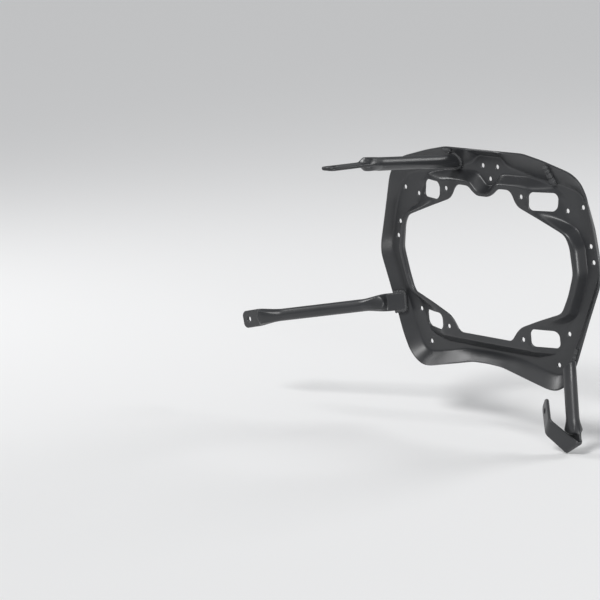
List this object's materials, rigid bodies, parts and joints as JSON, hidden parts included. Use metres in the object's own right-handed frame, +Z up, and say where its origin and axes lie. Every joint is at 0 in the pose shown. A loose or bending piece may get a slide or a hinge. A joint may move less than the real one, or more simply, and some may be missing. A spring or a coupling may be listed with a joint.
{
  "type": "motorcycle pannier frame",
  "caption": "Pressed steel ring with drilled face and windows, carried by stays of round tube with flattened, bent ends.",
  "frame": {"origin": "centre of the four outer case holes, on the outer face of the ring", "axes": "+X to the rear of the machine, +Y out from it through the ring, +Z up"},
  "size_m": [0.6361, 0.2812, 0.3979],
  "materials": {
    "powder_coat": "satin black powder coat",
    "coated_weld": "rough weld under satin black powder coat"
  },
  "bodies": {
    "root": {"side_plate": "powder_coat", "upper_stay": "powder_coat", "lower_stay": "powder_coat", "hook_stay": "powder_coat", "upper_weld": "coated_weld", "upper_tack": "coated_weld", "lower_weld": "coated_weld", "hook_weld": "coated_weld", "corner_weld": "coated_weld"}
  },
  "joints": []
}
